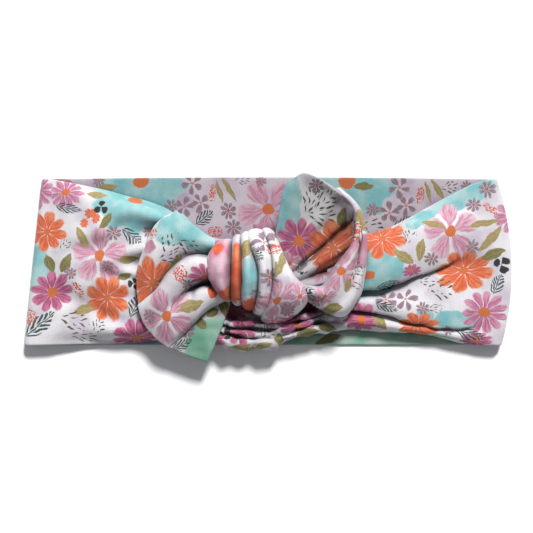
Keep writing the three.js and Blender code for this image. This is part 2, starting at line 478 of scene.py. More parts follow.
def sprig(g, place, colour, spots, paint, leaves, slant, thin, stem=True):
    """A stem along x with short slanted leaflets on both sides, or only the leaflets, scattered."""
    local = nearest(g, place, spots)
    x, y = g.parts(local)
    side = g.size(y)
    lean = g.minus(x, g.times(side, slant))
    phase = g.minus(g.math("FRACT", g.times(lean, leaves / 2)), 0.5)
    stroke = g.ramp(g.size(phase), thin + 0.06, thin - 0.03)
    bow = g.minus(1.0, g.math("POWER", g.size(x), 2.0))
    tip = g.ramp(g.minus(bow, side), -0.02, 0.08)
    if not stem:
        breaks = g.noise(place, 0.3, 0.0)
        tip = g.times(tip, g.ramp(breaks, 0.36, 0.4))
        gap = g.size(g.minus(side, 0.5))
        tip = g.times(tip, g.ramp(gap, 0.03, 0.1))
    root = g.ramp(side, 0.08, 0.2)
    mask = g.times(g.times(stroke, tip), root)
    if stem:
        line = g.times(g.ramp(side, 0.1, 0.04), g.ramp(g.size(x), 1.0, 0.94))
        mask = g.math("MAXIMUM", mask, line)
    return g.colour(mask, colour, paint)


def dots(g, place, colour, spots, paint):
    """A patch of small dots."""
    local = nearest(g, place, spots)
    cells = g.put(
        "ShaderNodeTexVoronoi", {"Vector": place, "Scale": 1.15, "Randomness": 0.7}, feature="F1"
    )
    dot = g.ramp(cells, 0.58, 0.48)
    mask = g.times(dot, g.ramp(g.vector("LENGTH", local), 1.0, 0.9))
    return g.colour(mask, colour, paint)


PAINTED_SHADE_REACH = 0.006  # metres: folds and gaps narrower than this get painted shade, found by an ambient occlusion node
PAINTED_SHADE_DEEPEST = 0.28  # how much of its colour the cloth keeps under the painted shade deep in a fold
WALE, COURSE = 0.75, 0.55  # the knit's columns and rows
PILE_HEIGHT = 0.0003  # metres
WANDERS = ((0.55, 2.0, 1.1), (0.16, 1.0, 2.4))  # how outlines stray: noise scale, detail, distance


def printed_jersey(name, motifs, shade, ground=(GROUND, GROUND_SHADE)):
    """Brushed jersey with a print. motifs maps each motif's name to its spots on the cloth."""
    material = bpy.data.materials.new(name)
    material.use_nodes = True
    g = Graph(material)
    shader = material.node_tree.nodes["Principled BSDF"]
    cloth = g.put("ShaderNodeUVMap", uv_map="Cloth")
    place = cloth
    for scale, detail, far in WANDERS:
        wander = g.vector("SUBTRACT", g.noise(cloth, scale, detail, 1), (0.5, 0.5, 0.5))
        place = g.vector("ADD", place, g.vector("MULTIPLY", wander, (far, far, 0.0)))

    wash = g.noise(cloth, 0.05, 3.0)
    colour = g.colour(g.ramp(wash, 0.42, 0.68), *ground)
    for kind, spots in motifs.items():
        painted, *how = MOTIFS[kind]
        colour = painted(g, place, colour, spots, *how)

    pile = g.noise(cloth, 3.4, 2.0)
    worn = g.times(g.ramp(pile, 0.35, 0.75), 0.1)
    colour = g.colour(worn, colour, srgb("FFFFFF"))
    # Painted shade: an ambient occlusion node darkens the colour in narrow folds and gaps, and shade scales
    # the whole piece, as painted shade below 1 and painted light above 1. The speckle is the pile's random
    # tone.
    open_share = g.put("ShaderNodeAmbientOcclusion", {"Distance": PAINTED_SHADE_REACH}, 1, samples=8)
    painted_shade_and_speckle = g.ramp(open_share, 0.25, 0.9, PAINTED_SHADE_DEEPEST * shade, shade)
    speckle = g.ramp(g.noise(cloth, 1.6, 3.0), 0.3, 0.6, 0.9, 1.0)
    painted_shade_and_speckle = g.times(painted_shade_and_speckle, speckle)
    colour = g.put("ShaderNodeVectorMath", {0: colour, 3: painted_shade_and_speckle}, 0, operation="SCALE")
    g.tree.links.new(colour, shader.inputs["Base Color"])

    x, y = g.parts(cloth)
    wales = g.math("SINE", g.times(x, 2 * math.pi / WALE))
    courses = g.math("SINE", g.times(y, 2 * math.pi / COURSE))
    knit = g.times(g.plus(wales, courses), 0.12)
    fuzz = g.plus(knit, g.times(pile, 1.4))
    bump = g.put("ShaderNodeBump", {"Strength": 0.6, "Distance": PILE_HEIGHT, "Height": fuzz})
    g.tree.links.new(bump, shader.inputs["Normal"])
    rough = g.ramp(pile, 0.3, 0.7, 0.72, 0.92)
    g.tree.links.new(rough, shader.inputs["Roughness"])
    shader.inputs["Sheen Weight"].default_value = 0.12
    shader.inputs["Sheen Roughness"].default_value = 0.5
    shader.inputs["Specular IOR Level"].default_value = 0.28
    return material


# Each kind of motif: the function that paints it, and what that function takes after its spots.
MOTIFS = {
    "aqua": (bloom, (AQUA, AQUA_LIGHT), CORAL_HEART),
    "aqua_wash": (bloom, (AQUA, AQUA_LIGHT), None),
    "mint_wash": (bloom, (MINT, MINT_LIGHT), None),
    "mint_wash_painted_light": (bloom, (MINT_PAINTED_LIGHT, MINT_PAINTED_LIGHTER), None),
    "pink_wash": (bloom, (PINK, PINK_LIGHT), None),
    "coral_wash": (bloom, (CORAL, CORAL_LIGHT), None),
    "pink": (flower, (PINK, PINK_LIGHT), CORAL_HEART, 0.19, 5, 0.57, 0.44, 0.42),
    "daisy": (flower, (ROSE, ROSE_LIGHT), CORAL_HEART, 0.24, 11, 0.52, 0.5, 0.45),
    "magenta": (flower, (MAGENTA, MAGENTA_LIGHT), CORAL_HEART, 0.24, 9, 0.5, 0.52, 0.49),
    "coral": (flower, (CORAL, CORAL_LIGHT), CORAL_HEART, 0.16, 8, 0.5, 0.52, 0.5),
    "mauve": (flower, (MAUVE, MAUVE_LIGHT), CORAL_LIGHT, 0.13, 5, 0.58, 0.42, 0.3),
    "star": (flower, (MAUVE, MAUVE_LIGHT), CORAL, 0.16, 8, 0.52, 0.48, 0.4),
    "trefoil": (flower, (NIGHT, NIGHT), None, 0, 3, 0.5, 0.5, 0.36),
    "tan_leaf": (leaf, (TAN_DARK, TAN)),
    "olive_leaf": (leaf, (OLIVE_DARK, OLIVE)),
    "feather": (sprig, TEAL, 5, 0.8, 0.27),
    "dashes": (sprig, GREEN, 4, 0.9, 0.16, False),
    "dots": (dots, CORAL),
}

# Where the motifs lie on each stretch of cloth: x, y, half length, half width, turn in degrees. The
# last two are left out of a spot that is as wide as it is long, and the turn of one that isn't turned.
BACK_PRINT = {
    "aqua": [(-64, 43.5, 25, 22, 5), (40, 43.5, 25, 22, 5)],
    "aqua_wash": [(-57, -36, 22, 7), (-80, 0, 25, 20), (10, -5, 25, 18)],
    # The back's lower strip is painted a paler mint, as painted light in the front's shadow.
    "mint_wash_painted_light": [(60, -37.4, 54, 7.6, 1)],
    "pink": [(0, 29.5, 15.5, 15.5, 12), (-104, 20, 15, 15, 40), (100, 5, 15), (-20, -15, 14, 14, 20)],
    "daisy": [(-106, 44, 8, 7), (-3, 14, 9)],
    "mauve": [(-38, 42.3, 5.6, 5.6, 10), (-42, 30.6, 5.4, 5.4, 45), (-34, 32.6, 5.2, 5.2, 80),
        (66, 40.6, 5.8, 5.8, 20), (61, 28, 5.6, 5.6, 50), (69.5, 31, 5.4, 5.4, 85)],
    "star": [(-20, 28.6, 4.2), (-17.5, 20.4, 4.2, 4.2, 20), (-49, 31, 3.4), (-85, 43.6, 3.2),
        (52.5, 29.5, 3.6), (-3.5, 43.8, 3), (99.5, 41, 3, 3, 10)],
    "dots": [(-28, 38, 5, 1.9, 85), (76.5, 36.6, 5, 1.9, 80), (-26.5, 18.5, 4, 3)],
    "tan_leaf": [(-24.5, 38.6, 6.5, 1.3, -75), (-19.5, 39.4, 7.5, 1.3, -58),
        (80.5, 38.4, 6.5, 1.2, -78), (85.5, 39, 7, 1.3, -55), (16, 43.5, 6, 3, 15),
        (-81, 40.4, 5.5, 2.2, 5)],
    "olive_leaf": [(30, -36, 7, 2.4, 20), (48, 41, 5, 2.2, 5)],
    "feather": [(-32, 25.4, 5.5, 3.4, 35), (68, 22.4, 6, 3.2, 35), (108, 38, 5, 3, 60)],
    "dashes": [(53, 20.4, 7, 4.5, -20), (56, 14, 6, 4, 10), (91, 40.6, 6, 3, 10), (-13, 44, 5, 2.4)],
}
FRONT_LEFT_PRINT = {
    "aqua": [(-66.5, 35.4, 23, 20, -15)],
    "aqua_wash": [(-119, 0, 13, 12)],
    "pink": [(-84, 6, 14, 14, 50), (-46.6, 4, 9.6, 9.6, 20)],
    "daisy": [(-101, 37.3, 8.6, 7.4, 10), (-115, 38, 9, 7.5, 70)],
    "magenta": [(-108, -12, 10.6, 10, 30), (-65.5, -35.4, 12.5, 11, 12), (-43, -16, 8, 7)],
    "coral": [(-110.6, 18.4, 10, 10, 10), (-80, -15, 11, 11.4), (-88.6, 27, 3.2, 2.6),
        (-91.6, 22.4, 2.6, 2, 40), (-86, 24.4, 2.6, 2, 90)],
    "tan_leaf": [(-85.8, 36.4, 5.6, 2.1, 3), (-92.6, 15.2, 6, 2, -62), (-69.6, 4.6, 6, 2.6, 5),
        (-92.2, -21, 5.4, 2.3, 18)],
    "olive_leaf": [(-80.4, 23.4, 4.9, 2.1, 48), (-109, 2.4, 5.2, 2.5, -66), (-100.8, 2, 5.6, 2.4, 62),
        (-71.6, -4.2, 4, 2.2, 20), (-53.4, 14.6, 4.6, 2, 35), (-54, -12, 5, 2.2, -60)],
    "trefoil": [(-83.6, 29.8, 3.8, 3.6, 25), (-67.2, -8, 3.4, 3)],
    "star": [(-77, 17.6, 3.8), (-60, 18.4, 3.2, 3.2, 20), (-98.6, -2.6, 3, 3, 10), (-80, 1, 2.9)],
    "feather": [(-99.6, 30, 7, 2.4, -12), (-67.8, 15.4, 6.6, 3.4, -35), (-66.6, -18.6, 6.4, 3, 75),
        (-114, -28.4, 9.6, 4.4, 38)],
    "dashes": [(-97, -26.4, 9.4, 4.6, -10), (-92, -34, 9.5, 4, -12), (-84.6, -29, 5, 3.6, 60),
        (-101, 11.6, 4.4, 2.8, 50)],
    "dots": [(-94.6, -11, 5.6, 2.2, -62), (-118.6, -24.4, 3, 4)],
}
FRONT_RIGHT_PRINT = {
    "aqua": [(50, -3.6, 19, 13, 15)],
    "aqua_wash": [(98, 36, 22, 6, 24), (94, -26, 12, 5, -8), (76, 24, 9, 4, 24), (78, -24, 5, 4)],
    "mint_wash": [(60, -35, 40, 2.5)],
    "pink": [(90.6, 18, 14.6, 13, 60), (45, -25, 8, 6.5, 40), (31, -23, 6, 5)],
    "daisy": [(108, -22, 11.5, 10.5), (122, 26, 9)],
    "magenta": [(71, -1, 5, 3, 10), (46.4, -25, 9, 7), (104, -36, 8, 4)],
    "coral": [(56.6, 14, 12, 9.5, 10), (98, -1.6, 14.5, 10.5, 12), (75, -28.6, 10.5, 6.6)],
    "mauve": [(59, -16.4, 6, 4.6, 10), (68.8, -16, 6.2, 5, 40)],
    "star": [(109.6, 39.2, 4.4), (102.6, 31.4, 3.8, 3.8, 20), (101.8, 10.6, 3.7, 3.7, 10),
        (80.8, 4.6, 3.4), (77, -20, 3.4), (90, -31, 2.8, 2.4)],
    "dots": [(111, 30, 4.6, 2, -40), (26, -26, 3, 2.6)],
    "tan_leaf": [(67, 5.6, 6, 2.6, -35), (75.6, 8.8, 5.8, 2.6, 82), (108, 22.4, 9, 1.7, 12),
        (111, 14.6, 8.6, 2.2, 45), (82, 21, 6, 1.6, -10), (56, -26.8, 5, 2, -40)],
    "olive_leaf": [(112.4, 6.8, 6.6, 2.8, 20), (20, -33, 6, 2.4, 15)],
    "trefoil": [(117, 1.6, 4.4, 4.2, -15)],
    "feather": [(114.6, -8, 5.6, 3.4, 65), (60, -8.2, 6.4, 2.6, 15), (101, -33, 8, 3, -15),
        (58.6, -19.6, 6, 2.4, -15)],
    "dashes": [(86, -10.6, 8.6, 5.2, -8), (79, -6, 6, 3, 5), (83.6, -20, 5, 2.2, 8),
        (70, 15.4, 4.6, 3.4, 70)],
}
LEFT_LEAF_PRINT = {
    "aqua_wash": [(-37.6, 18.8, 15, 8.5, -48), (-46.5, 19, 10, 8, 20)],
    "pink_wash": [(-58.6, 10, 4, 3.4, 60)],
    "coral": [(-57, -7, 12.4, 14, 78)],
    "tan_leaf": [(-45.6, 3.4, 5, 2, 55)],
    "dots": [(-56.6, 16.8, 2.6, 3)],
    "dashes": [(-48, 12, 7.4, 4.8, 60), (-39, 10.6, 8, 4, -30), (-48.6, 6, 6.6, 3.4, 15)],
}
LEFT_ROLL_PRINT = {
    "pink": [(-49.6, -23.6, 14.6, 13, 80)],
    "magenta": [(-31, -3.4, 8.4, 5.4)],
    "dots": [(-43, -2.4, 3.6, 3.8)],
    "tan_leaf": [(-38, -18.6, 6.6, 2.6, 22)],
    "star": [(-58.6, -24, 3.6, 3.6, 15), (-40, -7.6, 3)],
    "coral_wash": [(-27.6, -11.6, 2.6, 3)],
    "feather": [(-45, -40, 5.6, 2.8, 30)],
}
LEFT_TIP_PRINT = {
    "mint_wash": [(-31, -37, 16, 10, 65)],
    "olive_leaf": [(-33.6, -26.8, 4.6, 2.2, -48), (-22, -19.4, 5.4, 2.4, -80), (-27.6, -22, 3, 2, 30)],
    "star": [(-40, -31, 4)],
    "feather": [(-42.6, -38, 5.6, 2.8, 30)],
}
RIGHT_BOWL_PRINT = {
    "aqua_wash": [(10, 31, 7, 17, -8)],
    "magenta": [(15, 13.4, 11, 12, 20)],
    "pink": [(10, 2, 7, 6), (27, -3, 7, 6)],
    "coral": [(33, 9.4, 15, 14, 35)],
    "olive_leaf": [(37, 24.6, 6.2, 2.6, 72)],
    "star": [(23.6, 40.8, 4)],
    "dashes": [(21, 33.4, 8.4, 4.6, 75), (29, 33.6, 9, 4.6, 40), (27, 25.6, 9.6, 5, -12)],
    "feather": [(16.6, 1.4, 6, 3, 65)],
}
RIGHT_ROLL_PRINT = {
    "pink": [(36, -1.6, 12, 9.4, 60), (28, -13.4, 5.6, 5, 40)],
    "pink_wash": [(47.4, 8, 4, 9), (40, 12, 3, 7, -20)],
    "tan_leaf": [(46, 23.4, 6, 2, -75), (39, -8.6, 4, 1.8, 70)],
    "olive_leaf": [(31, -20.6, 6, 2.8, 10)],
    "star": [(24.4, -16, 3.6)],
    "dashes": [(43.4, -7, 5, 4.6, 20), (45.6, -1, 4)],
    "feather": [(19, -12.4, 6, 3.4, -35)],
    "dots": [(43.4, 18, 1.8, 6)],
}
KNOT_PRINT = {
    "aqua_wash": [(-8.6, -4, 4.6, 11)],
    "pink_wash": [(-23, 0, 7, 16)],
    "pink": [(5, -15, 11, 9, 70), (15, -13, 7, 6), (3, -26, 6, 4)],
    "coral_wash": [(-15.4, -2, 3.4, 15), (-9.4, -18.6, 4.6, 4.4), (-20.6, -12, 3.6), (-25, 9, 2.8, 3)],
    "mauve": [(-2, 12, 6, 5)],
    "star": [(1, -4.4, 4.6), (10, -20, 4), (-6, -13, 3.4, 3.4, 10)],
    "dots": [(2.4, 8.4, 4, 3, 20)],
    "tan_leaf": [(-11, 8.6, 5, 2.4, 80), (6, 2, 6, 2, 75), (-15, -39, 6, 1.8, 20),
        (-9, -40, 6, 1.6, -10), (-3, -39, 5, 1.5, 15)],
    "feather": [(-5.6, 6.6, 4, 2, -50)],
    "magenta": [(-13, -31, 9, 6, 20), (14, -28, 9, 5), (-28, -36, 8, 6)],
    "olive_leaf": [(20, -33, 6, 2.4, 15), (5, -36, 2, 4), (30, -30, 5, 2)],
    "dashes": [(-1, -31, 5, 3, 60), (12, -37, 5, 3, 20), (28, -24, 5, 3)],
    "trefoil": [(-21, -33, 3.4, 3)],
}
# The crossing strands lie lower, and show the same print with more of it in the knot's shade.
GATHER_PRINT = {
    **KNOT_PRINT,
    "magenta": [(-18, -21, 8.4, 6.4, 20), (-13, -31, 9, 6, 20), (14, -28, 9, 5), (-28, -36, 8, 6),
        (21, -19, 7, 5.4)],
}

# ---- The band ----

END_DROP = 1.2  # how much lower the upper edge is at the band's two ends
LEFT_SLANT = 8.7  # how far the left fold leans over the band's depth
RIGHT_BOW, RIGHT_BOW_AT = 24, 0.45  # the right fold's bow, and where it reaches furthest out
FOLD_STEPS = 12


def left_fold_x(v):
    """Where the left fold's bend begins, from the lower edge, v = 0, to the upper one."""
    return LEFT_END + FOLD_RADIUS + CLOTH / 2 + LEFT_SLANT * v


def right_fold_x(v):
    """The same for the right fold, which bows outwards."""
    return RIGHT_END - FOLD_RADIUS - CLOTH / 2 - RIGHT_BOW * (v - RIGHT_BOW_AT) ** 2


def back_cloth(name, from_x, to_x, cut):
    """A flat panel of the back, between two ends whose x is given over the band's depth."""
    v = np.linspace(0, 1, steps(UPPER_EDGE - LOWER_EDGE))
    u = np.linspace(0, 1, steps(abs(to_x(0) - from_x(0))))[:, None]
    x = mix(from_x(v), to_x(v), u)
    y = mix(LOWER_EDGE, UPPER_EDGE - END_DROP * (x / RIGHT_END) ** 2, v)
    grid = np.stack([x, y, np.full_like(x, BACK_Z)], 2)
    grid[:, :, 2] += np.clip(ripple(grid, 40, 0.16, 3), -0.1, 1) * np.minimum(1, 4 * v * (1 - v))
    return cloth_piece(name, grid, materials["back"], cut=cut, flat=grid[:, :, :2].copy())


def back():
    """Three panels: the middle one, and one each side of it."""
    bend_reach = 4
    inner = BEND - bend_reach - 1  # the middle panel ends bend_reach and 1 mm short of BEND, where its neighbours begin
    middle = back_cloth("back_middle_cloth", lambda v: -inner + 0 * v, lambda v: inner + 0 * v,
                        ("u0", "u1"))
    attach(middle, "back_middle")
    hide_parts("back_middle_outer_ply", "back_middle_inner_ply", "back_middle_long_seam")
    left = back_cloth("back_left_cloth", left_fold_x, lambda v: -inner + 0 * v, ("u0", "u1"))
    right = back_cloth("back_right_cloth", lambda v: inner + 0 * v, right_fold_x, ("u0", "u1"))
    for piece, side, way in ((left, "left", -1), (right, "right", 1)):
        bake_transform(piece)
        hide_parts(*(f"back_{side}_{part}" for part in ("outer_ply", "inner_ply", "long_seam")))


def with_fold(front, way, fold_x):
    """The front's grid and flat coordinates, with the half turn from the back put before them."""
    v = np.linspace(0, 1, front.shape[1])
    angle = np.linspace(-math.pi / 2, math.pi / 2, FOLD_STEPS + 1)[:-1, None]
    x = fold_x(v) + way * FOLD_RADIUS * np.cos(angle)
    y = mix(LOWER_EDGE, UPPER_EDGE - END_DROP, v) + 0 * x
    z = BACK_Z + FOLD_RADIUS * (1 + np.sin(angle)) + 0 * x
    turn = np.stack([x, y, z], 2)
    flat = cloth_coordinates(front)
    run = FOLD_RADIUS * (math.pi / 2 - angle)
    before = np.stack([flat[0, :, 0] + way * run, flat[0, :, 1] + 0 * run], 2)
    return np.concatenate([turn, front]), np.concatenate([before, flat])


def fold_blend(piece, x):
    """Bakes the piece's placement into its mesh."""
    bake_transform(piece)


def front_piece(side, grid, way, fold_x):
    """One piece of a front and its fold. way is the side's direction, and fold_x gives where its fold begins.
    """
    grid, flat = with_fold(grid, way, fold_x)
    piece = cloth_piece(f"front_{side}_cloth", grid, materials[f"front_{side}"], cut=("u0",), flat=flat)
    fold_blend(piece, fold_x(0) * MM)
    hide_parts(f"front_{side}_outer_ply", f"front_{side}_inner_ply", f"front_{side}_long_seam",
                f"{side}_fold_outer_ply", f"{side}_fold_inner_ply")


def front_left():
    """The left front: nearly flat at its fold, narrower and creased towards the knot."""
    # The upper and the lower edge, as (x, y), and the x where the cloth ends under the knot.
    upper = [(-109.5, 43.8), (-99, 42), (-82.5, 38.7), (-70, 35.3), (-59.3, 32.6), (-49.4, 28.3),
             (-40, 21), (-30, 13), (-22, 8)]
    lower = [(-118.2, LOWER_EDGE), (-99, -37.6), (-77.6, -37.2), (-66, -36.8), (-56, -35.5),
             (-49, -33.5), (-40, -28), (-30, -21), (-22, -15)]
    end = -31.5
    v = np.linspace(0, 1, steps(83))
    u = np.linspace(0, 1, steps(83))[:, None]
    x = mix(left_fold_x(v), end, u)
    low = height_at(mix(left_fold_x(0), end, u), lower)
    high = height_at(mix(left_fold_x(1), end, u), upper)
    y = mix(low, high, v)
    z = FRONT_Z + 4.6 * smooth((x + 112) / 80)
    grid = np.stack([x, y, z], 2)
    # Each crease as its start and its end in plan, the height it grows to, and its half width.
    crests = [
        ((-98, 0), (-60, 10), 4.6, 4), ((-88, 4), (-56, -7), 4, 2.7), ((-100, -31), (-68, -31), 2.6, 4),
        ((-86, 31), (-54, 25), 3.8, 4.4), ((-80, 18), (-52, 18), -3, 3.6), ((-84, -14), (-52, -17), -3, 4.6),
        ((-114, 4), (-92, 16), 1.8, 4), ((-104, -12), (-84, -22), -1.6, 4), ((-86, -3), (-66, -5), -2, 2.2),
    ]
    for start, stop, high, wide in crests:
        grid[:, :, 2] += along_line(grid, start, stop, high, wide)
    grid[:, :, 2] += smooth(6 * u) * (ripple(grid, 24, 1.1, 11) + ripple(grid, 12, 0.55, 12))
    lying = BAND + 1.2  # the height of the edges, where the front lies down on the back
    droop = smooth((x + 114) / 30) * (np.exp(-((v / 0.05) ** 2)) + np.exp(-(((1 - v) / 0.04) ** 2)))
    grid[:, :, 2] = mix(grid[:, :, 2], lying, np.minimum(1, droop))
    front_piece("left", grid, -1, left_fold_x)


# Cross sections of the pleated front, from its lower edge to its upper one, as (y, z) at each x.
# The columns are: lower edge, two points over the low pleat, tuck, middle pleat's lip, its crest,
# its top, tuck, upper pleat's lip, three points over it, its top, tuck, and the flat strip above.
PLEATS = [
    (30, [(-30, 5), (-27, 9.6), (-23, 9.2), (-18, 8), (-19.8, 10.6), (-15.6, 11.8), (-11, 9.6), (-5, 8.4),
          (-7.6, 11.6), (-2, 12.6), (5, 12.8), (9, 12.2), (11, 10.4), (10, 9.4), (12, 8.6)]),
    (42, [(-30.1, 4.2), (-27, 9.4), (-23, 8.8), (-19.4, 7.6), (-21.2, 10.6), (-17, 12), (-12.4, 9.2),
          (-7.4, 8), (-10.4, 12.6), (-4.4, 14), (5, 14), (11.4, 12.8), (14, 10.6), (13, 9.4), (15, 8.4)]),
    (56, [(-31.9, 3.6), (-28.4, 8.8), (-24.6, 8.2), (-20.6, 7.2), (-22.8, 10.4), (-17.4, 12.2), (-12.6, 8.6),
          (-6.6, 7.6), (-9.6, 13), (-3, 16.4), (7, 16), (13.4, 13.8), (16.4, 11), (15.2, 9.2), (17.6, 7.4)]),
    (70, [(-32.8, 3.4), (-30.6, 8.4), (-28, 7.8), (-24.4, 7), (-26.6, 9.8), (-19.4, 11.8), (-10.6, 9),
          (-2.4, 7.8), (-5, 12.2), (2, 15.6), (12.6, 15.4), (19, 13), (22, 10.6), (20.6, 8.8), (23, 7)]),
    (84, [(-33.8, 3.6), (-32.2, 7.8), (-30.6, 7.4), (-27.6, 7), (-29.4, 9.4), (-20, 10.8), (-8, 9),
          (1, 8), (-0.4, 10.8), (6, 13.4), (14, 13.8), (22.6, 12), (25.4, 9.6), (26, 8.2), (30.8, 6)]),
    (97, [(-36.6, 4.4), (-34.6, 7.4), (-32.6, 7.2), (-30, 7), (-29.6, 8.9), (-20, 9.6), (-8, 8.7),
          (2, 8.2), (6, 9.8), (11, 11), (17, 11.4), (24, 10.2), (27.6, 8.7), (30, 7.9), (37, 6.2)]),
    (108, [(-37.8, 6), (-35.6, 7.5), (-33, 7.5), (-30, 7.5), (-27, 8), (-19, 8.2), (-9, 8),
           (1, 7.8), (7, 8.1), (13, 8.5), (19, 8.6), (25, 8.3), (30, 7.9), (35, 7.6), (41.4, 6.8)]),
    (118, [(y, 7.15) for y in (-38, -34, -30, -25, -19, -13, -6, 1, 8, 14, 20, 26, 32, 38, 43.8)]),
]


def front_right():
    """The right front: flat at its fold, gathered into three pleats towards the knot."""
    nets = [[(x, y, z) for y, z in section] for x, section in PLEATS]
    grid = loft(nets[::-1], steps(90), steps(110))
    v = np.linspace(0, 1, grid.shape[1])
    u = np.linspace(0, 1, grid.shape[0])[:, None]
    last = PLEATS[-1][0]
    grid[:, :, 0] += (1 - u) ** 2 * (right_fold_x(smooth(v) * 0.2 + 0.8 * v) - last)
    level = PLEATS[-1][1][0][1]
    grid[0, :, 1] = mix(LOWER_EDGE, UPPER_EDGE - END_DROP, v)
    grid[:, :, 2] += FRONT_Z - level
    grid = raised(grid, smooth(6 * u) * (ripple(grid, 24, 0.6, 21) + ripple(grid, 10, 0.24, 22)))
    front_piece("right", grid, 1, right_fold_x)


# ---- The knot ----


def knot_piece(name, grid, material, nodes):
    """A strand of the knot. It stands for those CAD nodes."""
    piece = cloth_piece(name, grid, materials[material])
    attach(piece, "knot")
    if nodes:
        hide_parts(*nodes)


def gather():
    """The lower strand of the first crossing, gathered under the knot."""
    # Each station is x, the lowest y, the y of the tuck under the knot, and the height of its swells.
    # shares go from the lowest y to the tuck and past it, with each swell's drop, or None if flat.
    stations = [(-36, -33.6, -22, 9), (-28, -36, -23, 11.5), (-20, -38.8, -24, 13), (-11, -40, -25, 14),
                (-1, -39.6, -26, 14), (8, -37, -25, 13.5), (17, -33.8, -23, 12.8), (28, -31.4, -20, 11.6),
                (39, -30.2, -18, 10)]
    shares = (0, 0.09, 0.22, 0.34, 0.5, 0.66, 0.82, 1, 1.6, 2.1)
    drops = (None, 1.4, 0.6, 3.8, -0.2, 3.6, 0.4, None, None, None)
    draw = np.random.default_rng(7)
    rows = []
    for x, low, tuck, high in stations:
        row = []
        for share, drop in zip(shares, drops):
            y = low + share * (tuck - low)
            if share == 0:
                row.append((x, y + 3, 3.6))
                row.append((x, y, 7))
            elif drop is None:
                row.append((x, y, 4.4))
            else:
                row.append((x + draw.uniform(-1, 1), y + draw.uniform(-1.3, 1.3) * (share > 0.2),
                            high - drop * draw.uniform(0.4, 1.5)))
        rows.append(row)
    grid = loft(rows, steps(78), steps(46))
    u = np.linspace(0, 1, grid.shape[0])[:, None]
    t = np.linspace(0, 1, grid.shape[1])
    tucks = 0.7 * np.sin(2 * math.pi * (3.4 * u + 2.5 * t)) * smooth(4.6 * t) * smooth(4.6 - 4.6 * t)
    grid = raised(grid, tucks + ripple(grid, 11, 0.8, 31) + ripple(grid, 5, 0.25, 32))
    knot_piece("gather_cloth", grid, "gather", ["crossing_lower_strand"])


def crossing():
    """The upper strand of the first crossing, under the wrap and the tails."""
    stations = [(-37, 15, 11), (-26, 13, 12), (-10, 12, 12.6), (8, 12, 12.6), (24, 13, 12), (36, 12, 10.6)]
    rows = []
    for x, half, high in stations:
        middle = mix(2, -2, (x + 38) / 76)
        rows.append([
            (x, middle - half, 8), (x, middle - 0.86 * half, high - 1), (x, middle - 0.4 * half, high),
            (x, middle, high - 1), (x, middle + 0.4 * half, high), (x, middle + 0.86 * half, high - 1.2),
            (x, middle + half, 8),
        ])
    grid = loft(rows, steps(76), steps(42))
    grid = raised(grid, ripple(grid, 10, 0.3, 41))
    knot_piece("crossing_cloth", grid, "gather", ["crossing_upper_strand"])


def strand():
    """The strand that runs through the wrap, from one tail to the other."""
    rows = []
    for x, half, high in ((-25, 10, 19), (-20, 10, 20), (-12, 10, 21), (-2, 10, 21), (5, 9, 20)):
        rows.append([
            (x, -half - 1, 12), (x, -0.9 * half - 1, high - 4), (x, -0.45 * half, high),
            (x, 0, high - 1.4), (x, 0.45 * half, high), (x, 0.9 * half + 1, high - 4), (x, half + 1, 12),
        ])
    grid = loft(rows, steps(42), steps(46))
    knot_piece("strand_cloth", grid, "knot", ["knot_core"])


# The wrap's pleats, each a list of stations from its top to its bottom:
# left x, left y, right x, right y, height of the crest.
WRAP = {
    "wrap_pleat_1": [
        (-24, 12.4, -16.8, 14.6, 12), (-27.4, 11.8, -16.8, 13.8, 21.6), (-29.6, 7, -17, 7.4, 27.4),
        (-30, 0, -17.2, 0, 29), (-28.8, -7, -17.4, -7.4, 27.4), (-25.2, -13.4, -17.4, -14.8, 21.6),
        (-22.6, -15, -17.4, -17, 12),
    ],
    "wrap_pleat_2": [
        (-17.2, 15, -12.8, 16.6, 12), (-17.4, 13.8, -12.8, 15, 23.4), (-17.6, 7, -12.8, 7, 28.4),
        (-17.8, 0, -12.8, 0, 29.8), (-18, -8, -12.8, -8, 28.2), (-18, -15, -12.8, -15.8, 22.4),
        (-17.8, -17.4, -12.6, -18.8, 12),
    ],
    "wrap_pleat_3": [
        (-13.2, 16.6, -9, 18.2, 12), (-13.4, 14.8, -8.6, 15.8, 24.4), (-13.6, 7, -5.6, 6.6, 29.4),
        (-13.8, 0, -4.4, 0, 30.6), (-13.8, -8, -4.2, -8.4, 29.4), (-13.6, -15.8, -4.6, -17, 23.6),
        (-13, -19.4, -6, -21.4, 12),
    ],
    "wrap_pleat_4": [
        (-11, 17.8, -1.6, 20, 12.4), (-11, 15.6, 0.6, 17, 25.2), (-8, 8.6, 2.8, 8, 30.8),
        (-5, 0.6, 3.4, 0, 31.4), (-4.6, -8.4, 3, -9, 30), (-5.4, -17.2, 1.4, -19, 25),
        (-8, -21.4, 0, -25.4, 12.4),
    ],
    "wrap_pleat_5": [
        (-2.8, 19.8, 3.6, 18.4, 12.4), (-1.6, 17, 6.2, 12.4, 24.6), (0.8, 8.8, 9.4, 4.4, 29.6),
        (1.8, 1, 12.8, -3, 31.4), (1.8, -7.6, 16.6, -9.8, 30.8), (0.4, -15.6, 19.4, -16, 27.6),
        (-2.4, -22, 19, -21.6, 21.6), (-3.6, -26.8, 11.4, -27.4, 12.4),
    ],
}


